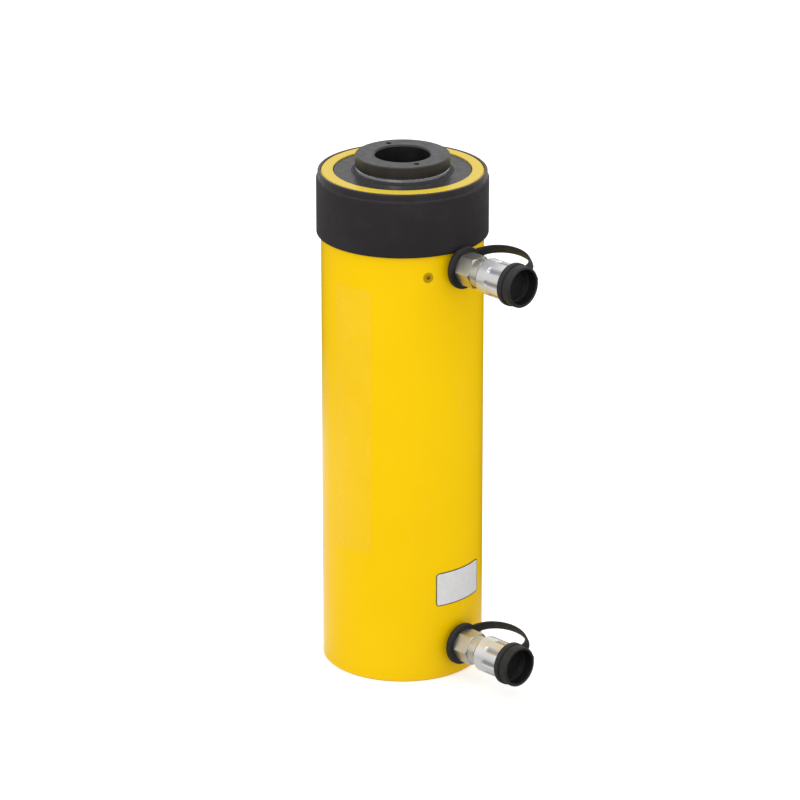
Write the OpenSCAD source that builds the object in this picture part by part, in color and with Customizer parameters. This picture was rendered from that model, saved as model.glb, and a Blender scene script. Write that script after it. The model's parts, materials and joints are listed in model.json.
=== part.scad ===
// Double-acting hollow plunger cylinder.
// Millimetres, +Z up along the cylinder axis, origin at the centre of the base face.
// Both hose couplers point along +X.

/* [Centre hole and tube] */
// Clear hole through the whole cylinder
hole_d = 54.1; // [50:0.1:58]
// Wall of the centre tube
tube_wall = 6.45; // [5:0.05:8]

/* [Plunger] */
// Travel of the plunger
stroke = 305; // [150:1:350]
// Wall of the chromed plunger
plunger_wall = 12.2; // [11:0.1:15]
// Height of the plunger above the barrel when retracted
plunger_proud = 4; // [2:0.5:6]
// Length of the piston
piston_l = 99; // [80:0.5:105]
// Depth of the saddle thread in the plunger
saddle_thread_l = 18.5; // [12:0.5:24]

/* [Barrel] */
// Space between plunger and barrel bore
annulus = 16; // [14:0.5:20]
// Wall of the barrel
barrel_wall = 17.5; // [16.5:0.1:20]
// Thickness of the closed end
floor_t = 31; // [28:0.5:36]
// Length of the collar thread
collar_l = 63.5; // [50:0.5:64]
// Step down from the barrel to the collar thread
collar_step = 0.125; // [0.1:0.025:1]
// Chamfer on the base edge
base_chamfer = 2; // [1:0.5:4]

/* [Base mounting holes] */
// Bolt circle of the tapped holes in the base
base_pcd = 130; // [118:1:136]
// Diameter of the tapped holes in the base
base_hole_d = 13.5; // [8:0.5:16]
// Depth of the tapped holes in the base
base_hole_depth = 18; // [10:1:22]

/* [Saddle] */
// Height of the saddle flange
saddle_t = 11.5; // [8:0.5:16]
// Step of the saddle over the plunger
saddle_step = 0.3; // [0.1:0.1:1]
// Chamfer round the hole of the saddle
saddle_hole_chamfer = 1.5; // [0.5:0.25:2.5]
// Distance of the spanner holes from the edge of the centre hole
spanner_in = 8.5; // [6:0.5:12]
// Diameter of the spanner holes
spanner_d = 5.5; // [4:0.5:7]
// Direction of the spanner holes from the coupler axis
spanner_angle = -21; // [-90:1:90]

/* [Gland] */
// Length of the whole gland
gland_l = 72; // [70:1:80]
// Length of the thread of the gland nut
gland_thread_l = 24; // [16:0.5:26]
// Shoulder of the gland thread outside the bore
gland_shoulder = 5.75; // [4:0.25:7]
// Depth of the gland below the top of the barrel
gland_sunk = 1; // [0.5:0.5:2]

/* [Thread protector] */
// Wall of the thread protector
protector_wall = 4.4; // [4:0.1:7]
// Height of the smooth rim at the top of the protector
protector_rim_h = 6.5; // [4:0.5:12]
// Step between the smooth rim and the gripping band
protector_step = 1.5; // [0.5:0.1:2]

/* [Ports] */
// Height of the lower port above the chamber floor
advance_port_up = 4; // [3.5:0.5:5]
// Distance of the upper port below the gland
retract_port_drop = 6.5; // [3.5:0.5:8]
// Diameter of the tapped ports
port_d = 17.2; // [15:0.1:19]
// Material left between port and bore
port_floor = 2.5; // [2:0.5:4]
// Diameter of the drilling between port and bore
drilling_d = 5.5; // [4:0.5:6]

/* [Coupler] */
// Diameter of the coupler neck
neck_d = 26; // [24:0.1:28]
// Height of the hexagon flats above the neck
hex_proud = 1.2; // [1:0.1:4]
// Round neck left between hexagon and sleeve
neck_l = 11.5; // [6:0.5:14]
// Distance of the locking sleeve from the barrel
sleeve_out = 40; // [34:1:46]
// Length of the locking sleeve
sleeve_l = 32; // [29:1:38]
// Wall of the locking sleeve
sleeve_wall = 3.7; // [3:0.1:5]
// Number of finger flutes on the sleeve
flute_count = 8; // [6:1:10]
// Radius of the cutter of the finger flutes
flute_r = 6; // [4:0.5:7]
// Depth of the finger flutes
flute_depth = 1.5; // [0.5:0.1:2]

/* [Dust cap] */
// Overhang of the cap flange outside the sleeve
cap_overhang = 3.25; // [1:0.25:4]
// Length of the dust cap in front of the sleeve
cap_l = 15.7; // [15:0.1:26]
// Wall of the hollow front of the dust cap
cap_wall = 4.6; // [2:0.2:6]
// Length of the plug inside the coupler mouth
cap_plug_l = 9; // [6:0.5:10]
// Wall of the tether ring
tether_wall = 8; // [5:0.25:9]
// Thickness of the tether ring
tether_h = 5; // [3.5:0.5:6]
// Width of the tether strap
strap_w = 10; // [6:0.5:12]
// Thickness of the tether strap
strap_t = 2.6; // [2:0.1:3]
// Height of the strap's bow over the sleeve
strap_bow = 22; // [12:0.5:24]

/* [Relief valve] */
// Diameter of the relief valve plug
relief_d = 10; // [8:0.5:12]
// Distance of the relief valve below the upper port
relief_drop = 6.5; // [6:0.5:14]
// Direction of the relief valve from the coupler axis
relief_angle = -25; // [-45:1:-22]

/* [Fits] */
// Radial clearance of guided and screwed pieces
fit = 0.05; // [0.02:0.01:0.1]
// Clearance of pieces that move past each other without guiding
free_gap = 0.3; // [0.2:0.05:0.4]

/* [Hidden] */
$fn = 96;
overcut = 1;

// Radii, from the centre hole out
hole_r = hole_d / 2;
tube_r = hole_r + tube_wall;
plunger_bore_r = tube_r + free_gap;
plunger_r = plunger_bore_r + plunger_wall;
bore_r = plunger_r + annulus;
barrel_r = bore_r + barrel_wall;
collar_r = barrel_r - collar_step;
gland_thread_r = bore_r + gland_shoulder;
saddle_r = plunger_r + saddle_step;
saddle_thread_wall = 1.45;
saddle_thread_r = tube_r + saddle_thread_wall;
piston_thread_step = 2;
piston_thread_r = plunger_r - piston_thread_step;
protector_r = collar_r + free_gap + protector_wall;

// Heights, from the base up
piston_z0 = floor_t + free_gap;
piston_z1 = piston_z0 + piston_l;
gland_z0 = piston_z1 + stroke + free_gap;
gland_z1 = gland_z0 + gland_l;
gland_step_z = gland_z1 - gland_thread_l;
barrel_h = gland_z1 + gland_sunk;
collar_z0 = barrel_h - collar_l;
plunger_z1 = barrel_h + plunger_proud;
saddle_z1 = plunger_z1 + saddle_t;
spigot_z0 = plunger_z1 - saddle_thread_l;
tube_gap = 2;
tube_z1 = spigot_z0 - tube_gap;
advance_port_z = floor_t + advance_port_up;
retract_port_z = gland_z0 - retract_port_drop;
relief_z = retract_port_z - relief_drop;

// Centre tube: shoulder on the floor, clip and seal in the base
tube_shoulder_w = 2.5;
tube_shoulder_r = tube_r + tube_shoulder_w;
tube_shoulder_h = 5;
clip_z0 = 2.2;
clip_t = 2;
clip_bite = 1.2;
clip_stand = 2.6;
clip_gap = 8;
clip_play = 0.4;
clip_recess_r = tube_r + clip_stand + clip_play;
base_seal_z = 12;
base_seal_d = 3.2;

// Piston grooves as [height above the bottom of the piston, width]
piston_chamfer = 8;
piston_seat = 38;
piston_lower_ring = [14, 9];
piston_seal_slot = [33, 10];
piston_upper_ring = [60, 9];
inner_ring_slot = [8, 10];
inner_seal_slot = [22, 8];
piston_seat_z = piston_z0 + piston_seat;
piston_land_r = bore_r - free_gap;
wear_ring_t = 3;
piston_seal_t = 6;
inner_seal_t = 3.6;
static_ring_d = 3.5;
static_ring_up = 2;

// Gland grooves as [depth below the top of the gland, width]
rod_seal_slot = [26, 12];
gland_ring_slot = [48, 18];
gland_static_drop = 40;
wiper_h = 7;
wiper_t = 4;
wiper_lip = 1.6;
rod_seal_t = 6;
gland_ring_t = 3;
gland_bore_r = plunger_r + free_gap;

// Couplers; lengths are measured out from the barrel surface
port_r = port_d / 2;
port_depth = barrel_wall - port_floor;
neck_r = neck_d / 2;
seat_sunk = 1.6;
seat_step = 1.2;
seat_r = neck_r + seat_step;
wire_d = 1.6;
wire_z = sleeve_out - free_gap - wire_d / 2;
sleeve_back_t = 4;
nose_step = 1;
nose_r = neck_r + nose_step;
nose_z0 = sleeve_out + sleeve_back_t + free_gap;
nose_set_back = 4;
nose_z1 = sleeve_out + sleeve_l - nose_set_back;
sleeve_bore_r = nose_r + free_gap;
sleeve_r = sleeve_bore_r + sleeve_wall;
sleeve_z1 = sleeve_out + sleeve_l;
mouth_wall = 3.6;
mouth_r = nose_r - mouth_wall;
passage_r = 4;
chamber_wall = 5.2;
chamber_r = neck_r - chamber_wall;
chamber_z0 = 14;
mouth_l = 15;
valve_l = 3;
valve_z = nose_z1 - mouth_l - valve_l;
valve_seat_w = 2.4;
valve_r = chamber_r - valve_seat_w;
poppet_head_l = 6;
poppet_stem_r = valve_r / 2;
poppet_stem_l = 6;
poppet_z0 = valve_z - poppet_head_l;
spring_wire_r = 0.8;
spring_inset = 2.2;
spring_r = chamber_r - spring_inset;
spring_turns = 5;

// Dust cap and tether
cap_z0 = sleeve_z1 + free_gap;
cap_z1 = cap_z0 + cap_l;
cap_flange_r = sleeve_r + cap_overhang;
cap_step = 1;
cap_r = cap_flange_r - cap_step;
cap_flange_h = 5.5;
cap_web = 3;
cap_tab_r = 2;
tether_bore_r = neck_r + fit;
tether_r = tether_bore_r + tether_wall;
tether_z = protector_r - barrel_r + free_gap;
hex_z0 = tether_z + tether_h + free_gap;
hex_z1 = sleeve_out - neck_l;
hex_chamfer = 1.8;
strap_angle = 60;
strap_lead = strap_bow / 4;
strap_rise = strap_bow / 2;
strap_tilt = strap_t / 2 * strap_lead / norm([strap_lead, strap_rise]);
strap_rings = 26;
strap_sides = 12;
strap_start_z = tether_z + tether_h / 2;
strap_end_z = cap_z0 + cap_flange_h / 2;

// Relief valve; depths are measured in from the barrel surface
relief_r = relief_d / 2;
relief_floor = 4.5;
relief_depth = barrel_wall - relief_floor;
relief_rim = 1;
relief_sunk = 0.8;
relief_plug_l = 5;
relief_hex_af = 4;
relief_hex_depth = 3;
relief_poppet_r = relief_r - free_gap;
relief_poppet_l = 3.4;
relief_drill_r = 1.5;
relief_spring_wire_r = 0.5;
relief_spring_inset = 2;
relief_spring_r = relief_r - relief_spring_inset;
relief_spring_turns = 3;

YELLOW = [0.98, 0.80, 0.02];
STEEL = [0.62, 0.63, 0.65];
CHROME = [0.80, 0.81, 0.83];
BLACK_STEEL = [0.22, 0.21, 0.23];
BLACK_RUBBER = [0.13, 0.12, 0.13];
BRONZE = [0.72, 0.52, 0.25];
SEAL = [0.55, 0.18, 0.12];

// A ring of rectangular section between two radii and two heights
module band(r_in, r_out, z0, z1) {
    rotate_extrude() translate([r_in, z0]) square([r_out - r_in, z1 - z0]);
}

// A ring of round section
module cord_ring(r, z, d) {
    rotate_extrude() translate([r, z]) circle(d = d, $fn = 32);
}

// A lip seal of U section; the groove between the lips faces -Z
module lip_seal(r_in, r_out, z0, z1) {
    lip = (r_out - r_in) * 0.28;
    rotate_extrude() polygon([
        [r_in, z0],
        [r_in + lip, z0],
        [(r_in + r_out) / 2, z0 + 0.45 * (z1 - z0)],
        [r_out - lip, z0],
        [r_out, z0],
        [r_out, z1],
        [r_in, z1]
    ]);
}

// A polyhedron skinned over a list of closed sections, with flat ends
module skin(sections) {
    n = len(sections);
    m = len(sections[0]);
    sides = [
        for (i = [0 : n - 2]) for (j = [0 : m - 1])
            [i * m + j, (i + 1) * m + j, (i + 1) * m + (j + 1) % m, i * m + (j + 1) % m]
    ];
    first = [for (j = [0 : m - 1]) j];
    last = [for (j = [m - 1 : -1 : 0]) (n - 1) * m + j];
    polyhedron(points = [for (s = sections) each s], faces = concat([first], sides, [last]), convexity = 8);
}

// A compression spring of round wire standing on z = 0
module coil_spring(r, wire_r, length, turns) {
    steps = 16;
    sides = 8;
    rise = length - 2 * wire_r;
    skin([
        for (i = [0 : turns * steps])
            let (a = 360 * i / steps, z = wire_r + rise * i / (turns * steps))
            [for (j = [0 : sides - 1])
                let (b = -360 * j / sides, q = r + wire_r * cos(b))
                [q * cos(a), q * sin(a), z + wire_r * sin(b)]]
    ]);
}

// Moves a piece drawn along +Z from the barrel surface to a port on the +X side
module at_port(z) {
    translate([barrel_r, 0, z]) rotate([0, 90, 0]) children();
}

// Moves a piece drawn along +Z from the barrel surface to the relief valve
module at_relief() {
    rotate([0, 0, relief_angle]) translate([barrel_r, 0, relief_z]) rotate([0, 90, 0]) children();
}

// Pieces fixed to the barrel

module barrel_turning() {
    thread_relief = 3;
    thread_depth = 1.4;
    top_chamfer = 1.2;
    rotate_extrude() polygon([
        [tube_r + fit, 0],
        [barrel_r - base_chamfer, 0],
        [barrel_r, base_chamfer],
        [barrel_r, collar_z0],
        [collar_r - thread_depth, collar_z0],
        [collar_r - thread_depth, collar_z0 + thread_relief],
        [collar_r, collar_z0 + thread_relief + thread_depth],
        [collar_r, barrel_h - top_chamfer],
        [collar_r - top_chamfer, barrel_h],
        [gland_thread_r, barrel_h],
        [gland_thread_r, gland_step_z],
        [bore_r, gland_step_z],
        [bore_r, floor_t],
        [tube_r + fit, floor_t]
    ]);
}

// Spot face, tapped hole and oil drilling of one port
module port_cut(z) {
    at_port(z) {
        translate([0, 0, -seat_sunk]) cylinder(r = seat_r, h = barrel_wall);
        translate([0, 0, -port_depth]) cylinder(r = port_r, h = port_depth);
        translate([0, 0, -barrel_wall - overcut]) cylinder(d = drilling_d, h = barrel_wall);
    }
}

module relief_cut() {
    at_relief() {
        translate([0, 0, -relief_depth]) cylinder(r = relief_r, h = barrel_wall);
        translate([0, 0, -relief_rim])
            cylinder(r1 = relief_r, r2 = relief_r + 2 * relief_rim, h = 2 * relief_rim);
        translate([0, 0, -barrel_wall - overcut]) cylinder(r = relief_drill_r, h = barrel_wall);
    }
}

module cylinder_barrel() {
    color(YELLOW) difference() {
        barrel_turning();
        band(tube_r - overcut, clip_recess_r, -overcut, clip_z0 + clip_t);
        band(tube_r - overcut, tube_r + base_seal_d, base_seal_z, base_seal_z + base_seal_d + 2 * fit);
        for (side = [-1, 1])
            translate([0, side * base_pcd / 2, -overcut])
                cylinder(d = base_hole_d, h = base_hole_depth + overcut);
        port_cut(advance_port_z);
        port_cut(retract_port_z);
        relief_cut();
    }
}

module thread_protector() {
    inner_r = protector_r - protector_wall;
    rim_r = protector_r - protector_step;
    rim_z = barrel_h - protector_rim_h;
    foot_chamfer = 2;
    rim_edge = 0.8;
    color(BLACK_RUBBER) rotate_extrude() polygon([
        [inner_r, collar_z0],
        [protector_r - foot_chamfer, collar_z0],
        [protector_r, collar_z0 + 2 * foot_chamfer],
        [protector_r, rim_z - protector_step],
        [rim_r, rim_z],
        [rim_r, barrel_h - rim_edge],
        [rim_r - rim_edge, barrel_h],
        [inner_r, barrel_h]
    ]);
}

module gland_nut() {
    thread_r = gland_thread_r - fit;
    body_r = bore_r - fit;
    edge = 0.8;
    lead = 2;
    color(BLACK_STEEL) difference() {
        rotate_extrude() polygon([
            [gland_bore_r, gland_z0],
            [body_r - lead, gland_z0],
            [body_r, gland_z0 + lead],
            [body_r, gland_step_z],
            [thread_r, gland_step_z],
            [thread_r, gland_z1 - edge],
            [thread_r - edge, gland_z1],
            [gland_bore_r, gland_z1]
        ]);
        band(gland_bore_r - overcut, plunger_r + wiper_t, gland_z1 - wiper_h, gland_z1 + overcut);
        gland_slot(rod_seal_slot, plunger_r + rod_seal_t);
        gland_slot(gland_ring_slot, plunger_r + gland_ring_t);
        translate([0, 0, gland_z1 - gland_static_drop])
            band(bore_r - static_ring_d, bore_r + overcut, -static_ring_d - 2 * fit, 0);
    }
}

// A groove in the bore of the gland
module gland_slot(slot, r_out) {
    band(gland_bore_r - overcut, r_out, gland_z1 - slot[0] - slot[1], gland_z1 - slot[0]);
}

module gland_wear_ring() {
    z1 = gland_z1 - gland_ring_slot[0] - fit;
    z0 = gland_z1 - gland_ring_slot[0] - gland_ring_slot[1] + fit;
    color(BRONZE) band(plunger_r + fit, plunger_r + gland_ring_t - fit, z0, z1);
}

module rod_seal() {
    z1 = gland_z1 - rod_seal_slot[0] - fit;
    z0 = gland_z1 - rod_seal_slot[0] - rod_seal_slot[1] + fit;
    color(SEAL) lip_seal(plunger_r + fit, plunger_r + rod_seal_t - fit, z0, z1);
}

module rod_wiper() {
    z0 = gland_z1 - wiper_h + fit;
    color(BLACK_RUBBER) rotate_extrude() polygon([
        [plunger_r + fit, z0],
        [plunger_r + wiper_t - fit, z0],
        [plunger_r + wiper_t - fit, gland_z1],
        [plunger_r + wiper_t / 2, gland_z1 + wiper_lip],
        [plunger_r + fit, gland_z1 + wiper_lip]
    ]);
}

module gland_o_ring() {
    z = gland_z1 - gland_static_drop - static_ring_d / 2 - fit;
    color(BLACK_RUBBER) cord_ring(bore_r - static_ring_d / 2, z, static_ring_d - 2 * fit);
}

module center_tube() {
    shoulder_z1 = floor_t + tube_shoulder_h;
    color(STEEL) difference() {
        rotate_extrude() polygon([
            [hole_r, 0],
            [tube_r, 0],
            [tube_r, floor_t],
            [tube_shoulder_r, floor_t],
            [tube_shoulder_r, shoulder_z1],
            [tube_r, shoulder_z1],
            [tube_r, tube_z1],
            [hole_r, tube_z1]
        ]);
        band(tube_r - clip_bite, tube_r + overcut, clip_z0, clip_z0 + clip_t);
    }
}

module base_o_ring() {
    z = base_seal_z + base_seal_d / 2 + fit;
    color(BLACK_RUBBER) cord_ring(tube_r + base_seal_d / 2, z, base_seal_d - 2 * fit);
}

module base_retaining_ring() {
    color(STEEL) difference() {
        band(tube_r - clip_bite + fit, tube_r + clip_stand, clip_z0, clip_z0 + clip_t);
        translate([0, -clip_gap / 2, clip_z0 - overcut])
            cube([clip_recess_r + overcut, clip_gap, clip_t + 2 * overcut]);
    }
}

// Pieces that slide out with the plunger

module plunger() {
    edge = 1;
    color(CHROME) rotate_extrude() polygon([
        [plunger_bore_r, piston_seat_z],
        [piston_thread_r, piston_seat_z],
        [piston_thread_r, piston_z1],
        [plunger_r, piston_z1],
        [plunger_r, plunger_z1 - edge],
        [plunger_r - edge, plunger_z1],
        [saddle_thread_r, plunger_z1],
        [saddle_thread_r, spigot_z0],
        [plunger_bore_r, spigot_z0]
    ]);
}

// A band at the height of a piston groove, narrower by a clearance at each side
module piston_band(slot, r_in, r_out, side) {
    z0 = piston_z0 + slot[0];
    band(r_in, r_out, z0 + side, z0 + slot[1] - side);
}

module piston() {
    thread_r = piston_thread_r + fit;
    relief_r = tube_shoulder_r + free_gap;
    relief_z1 = floor_t + tube_shoulder_h + free_gap;
    top_chamfer = 2;
    seal_z = piston_seat_z + static_ring_up;
    color(STEEL) difference() {
        rotate_extrude() polygon([
            [relief_r, piston_z0],
            [piston_land_r - piston_chamfer, piston_z0],
            [piston_land_r, piston_z0 + piston_chamfer],
            [piston_land_r, piston_z1 - top_chamfer],
            [piston_land_r - top_chamfer, piston_z1],
            [thread_r, piston_z1],
            [thread_r, piston_seat_z],
            [plunger_bore_r, piston_seat_z],
            [plunger_bore_r, relief_z1],
            [relief_r, relief_z1]
        ]);
        piston_band(piston_lower_ring, bore_r - wear_ring_t, bore_r + overcut, 0);
        piston_band(piston_seal_slot, bore_r - piston_seal_t, bore_r + overcut, 0);
        piston_band(piston_upper_ring, bore_r - wear_ring_t, bore_r + overcut, 0);
        piston_band(inner_ring_slot, tube_r - overcut, tube_r + wear_ring_t, 0);
        piston_band(inner_seal_slot, tube_r - overcut, tube_r + inner_seal_t, 0);
        band(thread_r - overcut, piston_thread_r + static_ring_d, seal_z, seal_z + static_ring_d + 2 * fit);
    }
}

module piston_lower_wear_ring() {
    color(BRONZE) piston_band(piston_lower_ring, bore_r - wear_ring_t + fit, bore_r - fit, fit);
}

module piston_upper_wear_ring() {
    color(BRONZE) piston_band(piston_upper_ring, bore_r - wear_ring_t + fit, bore_r - fit, fit);
}

module piston_seal() {
    groove_d = piston_seal_t * 0.45;
    color(SEAL) difference() {
        piston_band(piston_seal_slot, bore_r - piston_seal_t + fit, bore_r - fit, fit);
        for (end = [0, piston_seal_slot[1]])
            cord_ring(bore_r - piston_seal_t / 2, piston_z0 + piston_seal_slot[0] + end, groove_d);
    }
}

module inner_wear_ring() {
    color(BRONZE) piston_band(inner_ring_slot, tube_r + fit, tube_r + wear_ring_t - fit, fit);
}

module inner_seal() {
    z0 = piston_z0 + inner_seal_slot[0];
    color(SEAL) lip_seal(tube_r + fit, tube_r + inner_seal_t - fit, z0 + fit, z0 + inner_seal_slot[1] - fit);
}

module piston_o_ring() {
    z = piston_seat_z + static_ring_up + static_ring_d / 2 + fit;
    color(BLACK_RUBBER) cord_ring(piston_thread_r + static_ring_d / 2, z, static_ring_d - 2 * fit);
}

module saddle() {
    edge = 1;
    spanner_depth = 6;
    spigot_r = saddle_thread_r - fit;
    color(BLACK_STEEL) difference() {
        rotate_extrude() polygon([
            [hole_r, spigot_z0],
            [spigot_r - edge, spigot_z0],
            [spigot_r, spigot_z0 + edge],
            [spigot_r, plunger_z1],
            [saddle_r, plunger_z1],
            [saddle_r, saddle_z1 - edge],
            [saddle_r - edge, saddle_z1],
            [hole_r + saddle_hole_chamfer, saddle_z1],
            [hole_r, saddle_z1 - saddle_hole_chamfer]
        ]);
        for (turn = [0, 180])
            rotate([0, 0, spanner_angle + turn])
                translate([hole_r + spanner_in, 0, saddle_z1 - spanner_depth])
                    cylinder(d = spanner_d, h = spanner_depth + overcut);
    }
}

// Couplers, drawn along +Z from the barrel surface

// The hexagon begins in front of the tether ring
module coupler_hexagon() {
    corner_r = (neck_r + hex_proud) / cos(30);
    intersection() {
        translate([0, 0, hex_z0]) cylinder(r = corner_r, h = hex_z1 - hex_z0, $fn = 6);
        rotate_extrude() polygon([
            [0, hex_z0],
            [corner_r - hex_chamfer, hex_z0],
            [corner_r, hex_z0 + hex_chamfer],
            [corner_r, hex_z1 - hex_chamfer],
            [corner_r - hex_chamfer, hex_z1],
            [0, hex_z1]
        ]);
    }
}

module coupler_body() {
    thread_r = port_r - fit;
    thread_gap = 1;
    thread_z = -port_depth + thread_gap;
    lead = 1;
    edge = 0.8;
    color(STEEL) difference() {
        union() {
            rotate_extrude() polygon([
                [0, thread_z],
                [thread_r - lead, thread_z],
                [thread_r, thread_z + lead],
                [thread_r, -seat_sunk],
                [neck_r, -seat_sunk],
                [neck_r, nose_z0],
                [nose_r, nose_z0],
                [nose_r, nose_z1 - edge],
                [nose_r - edge, nose_z1],
                [0, nose_z1]
            ]);
            coupler_hexagon();
        }
        rotate_extrude() polygon([
            [0, thread_z - overcut],
            [passage_r, thread_z - overcut],
            [passage_r, chamber_z0],
            [chamber_r, chamber_z0],
            [chamber_r, valve_z - (chamber_r - valve_r)],
            [valve_r, valve_z],
            [valve_r, valve_z + valve_l],
            [mouth_r, valve_z + valve_l],
            [mouth_r, nose_z1 + overcut],
            [0, nose_z1 + overcut]
        ]);
        cord_ring(neck_r, wire_z, wire_d);
    }
}

module coupler_wire_ring() {
    color(STEEL) cord_ring(neck_r, wire_z, wire_d - 2 * fit);
}

module coupler_sleeve() {
    back_edge = 2;
    front_edge = 0.8;
    flute_z = sleeve_out + sleeve_l / 2;
    color(STEEL) difference() {
        rotate_extrude() polygon([
            [neck_r + fit, sleeve_out],
            [sleeve_r - back_edge, sleeve_out],
            [sleeve_r, sleeve_out + back_edge],
            [sleeve_r, sleeve_z1 - front_edge],
            [sleeve_r - front_edge, sleeve_z1],
            [sleeve_bore_r, sleeve_z1],
            [sleeve_bore_r, sleeve_out + sleeve_back_t],
            [neck_r + fit, sleeve_out + sleeve_back_t]
        ]);
        for (i = [0 : flute_count - 1])
            rotate([0, 0, 360 * i / flute_count]) translate([sleeve_r + flute_r - flute_depth, 0, flute_z]) {
                cylinder(r = flute_r, h = sleeve_l);
                sphere(r = flute_r);
            }
    }
}

// The poppet stands a little way off its conical seat, with its stem through the valve
module coupler_poppet() {
    head_r = chamber_r - free_gap;
    cone_r = valve_r - free_gap / sin(45);
    color(BRONZE) rotate_extrude() polygon([
        [0, poppet_z0],
        [head_r, poppet_z0],
        [head_r, valve_z - (head_r - cone_r)],
        [poppet_stem_r, valve_z + cone_r - poppet_stem_r],
        [poppet_stem_r, valve_z + poppet_stem_l],
        [0, valve_z + poppet_stem_l]
    ]);
}

module coupler_spring() {
    color(STEEL) translate([0, 0, chamber_z0])
        coil_spring(spring_r, spring_wire_r, poppet_z0 - chamber_z0, spring_turns);
}

// The cap is a plug with a hollow front, a flange that covers the sleeve and a pull tab
module dust_cap() {
    edge = 0.8;
    lip = 1.5;
    groove_z = cap_z0 + cap_flange_h;
    groove_r = cap_r - edge;
    hollow_r = cap_r - cap_wall;
    plug_r = mouth_r - free_gap;
    plug_z = nose_z1 - cap_plug_l;
    tab_angle = 100;
    tab_out = 1.4;
    color(BLACK_RUBBER) union() {
        rotate_extrude() polygon([
            [0, plug_z],
            [plug_r - edge, plug_z],
            [plug_r, plug_z + edge],
            [plug_r, cap_z0],
            [cap_flange_r - edge, cap_z0],
            [cap_flange_r, cap_z0 + edge],
            [cap_flange_r, groove_z - edge],
            [groove_r, groove_z],
            [groove_r, groove_z + edge],
            [cap_r, groove_z + 2 * edge],
            [cap_r, cap_z1 - lip],
            [cap_r - lip, cap_z1],
            [hollow_r + edge, cap_z1],
            [hollow_r, cap_z1 - edge],
            [hollow_r - edge, cap_z0 + cap_web],
            [0, cap_z0 + cap_web]
        ]);
        rotate([0, 0, tab_angle]) translate([cap_r - cap_wall / 2, 0, cap_z1 - lip - cap_tab_r])
            rotate([0, 90, 0]) cylinder(r = cap_tab_r, h = cap_wall / 2 + tab_out);
    }
}

module tether_ring() {
    edge = 0.8;
    z1 = tether_z + tether_h;
    color(BLACK_RUBBER) rotate_extrude() polygon([
        [tether_bore_r, tether_z],
        [tether_r - edge, tether_z],
        [tether_r, tether_z + edge],
        [tether_r, z1 - edge],
        [tether_r - edge, z1],
        [tether_bore_r, z1]
    ]);
}

function bezier(points, t) = len(points) == 1 ? points[0]
    : bezier([for (i = [0 : len(points) - 2]) (1 - t) * points[i] + t * points[i + 1]], t);

// Side view of the strap as [distance from the barrel, radius from the coupler axis]
strap_curve = [
    [strap_start_z, tether_r + fit + strap_tilt],
    [strap_start_z + strap_lead, tether_r + strap_rise],
    [(strap_start_z + strap_end_z) / 2, sleeve_r + strap_bow * 5 / 4],
    [strap_end_z + strap_lead, cap_flange_r + strap_bow * 3 / 4],
    [strap_end_z, cap_flange_r + free_gap + strap_tilt]
];

// A rounded flat section, wider than it is thick
function strap_section(k) =
    let (a = 360 * (k + 0.5) / strap_sides, power = 0.55)
    [
        sign(cos(a)) * pow(abs(cos(a)), power) * strap_w / 2,
        sign(sin(a)) * pow(abs(sin(a)), power) * strap_t / 2
    ];

// One section of the strap; up on the finished part is -X in the coupler's own axes
function strap_ring(t) =
    let (
        step = 0.001,
        p = bezier(strap_curve, t),
        q = bezier(strap_curve, min(1, t + step)) - bezier(strap_curve, max(0, t - step)),
        out = [-cos(strap_angle), sin(strap_angle), 0],
        across = [sin(strap_angle), cos(strap_angle), 0],
        normal = (q[0] * out - q[1] * [0, 0, 1]) / norm(q),
        centre = p[1] * out + [0, 0, p[0]]
    )
    [for (k = [0 : strap_sides - 1]) let (s = strap_section(k)) centre + s[0] * across + s[1] * normal];

module cap_strap() {
    color(BLACK_RUBBER) skin([for (i = [0 : strap_rings - 1]) strap_ring(i / (strap_rings - 1))]);
}

// Relief valve, drawn along +Z from the barrel surface

module relief_plug() {
    color(YELLOW) difference() {
        translate([0, 0, -relief_sunk - relief_plug_l]) cylinder(r = relief_r - fit, h = relief_plug_l);
        translate([0, 0, -relief_sunk - relief_hex_depth])
            cylinder(d = relief_hex_af / cos(30), h = relief_hex_depth + overcut, $fn = 6);
    }
}

module relief_poppet() {
    color(BRONZE) translate([0, 0, -relief_depth + fit]) cylinder(r = relief_poppet_r, h = relief_poppet_l);
}

module relief_spring() {
    z0 = -relief_depth + fit + relief_poppet_l;
    z1 = -relief_sunk - relief_plug_l;
    color(STEEL) translate([0, 0, z0])
        coil_spring(relief_spring_r, relief_spring_wire_r, z1 - z0, relief_spring_turns);
}

cylinder_barrel();
thread_protector();
gland_nut();
gland_wear_ring();
rod_seal();
rod_wiper();
gland_o_ring();
center_tube();
base_o_ring();
base_retaining_ring();
plunger();
piston();
piston_seal();
piston_lower_wear_ring();
piston_upper_wear_ring();
inner_wear_ring();
inner_seal();
piston_o_ring();
saddle();
at_port(retract_port_z) coupler_body();  // upper_coupler_body
at_port(retract_port_z) coupler_sleeve();  // upper_coupler_sleeve
at_port(retract_port_z) coupler_wire_ring();  // upper_coupler_wire_ring
at_port(retract_port_z) coupler_poppet();  // upper_coupler_poppet
at_port(retract_port_z) coupler_spring();  // upper_coupler_spring
at_port(retract_port_z) tether_ring();  // upper_tether_ring
at_port(retract_port_z) cap_strap();  // upper_cap_strap
at_port(retract_port_z) dust_cap();  // upper_dust_cap
at_port(advance_port_z) coupler_body();  // lower_coupler_body
at_port(advance_port_z) coupler_sleeve();  // lower_coupler_sleeve
at_port(advance_port_z) coupler_wire_ring();  // lower_coupler_wire_ring
at_port(advance_port_z) coupler_poppet();  // lower_coupler_poppet
at_port(advance_port_z) coupler_spring();  // lower_coupler_spring
at_port(advance_port_z) tether_ring();  // lower_tether_ring
at_port(advance_port_z) cap_strap();  // lower_cap_strap
at_port(advance_port_z) dust_cap();  // lower_dust_cap
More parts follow.
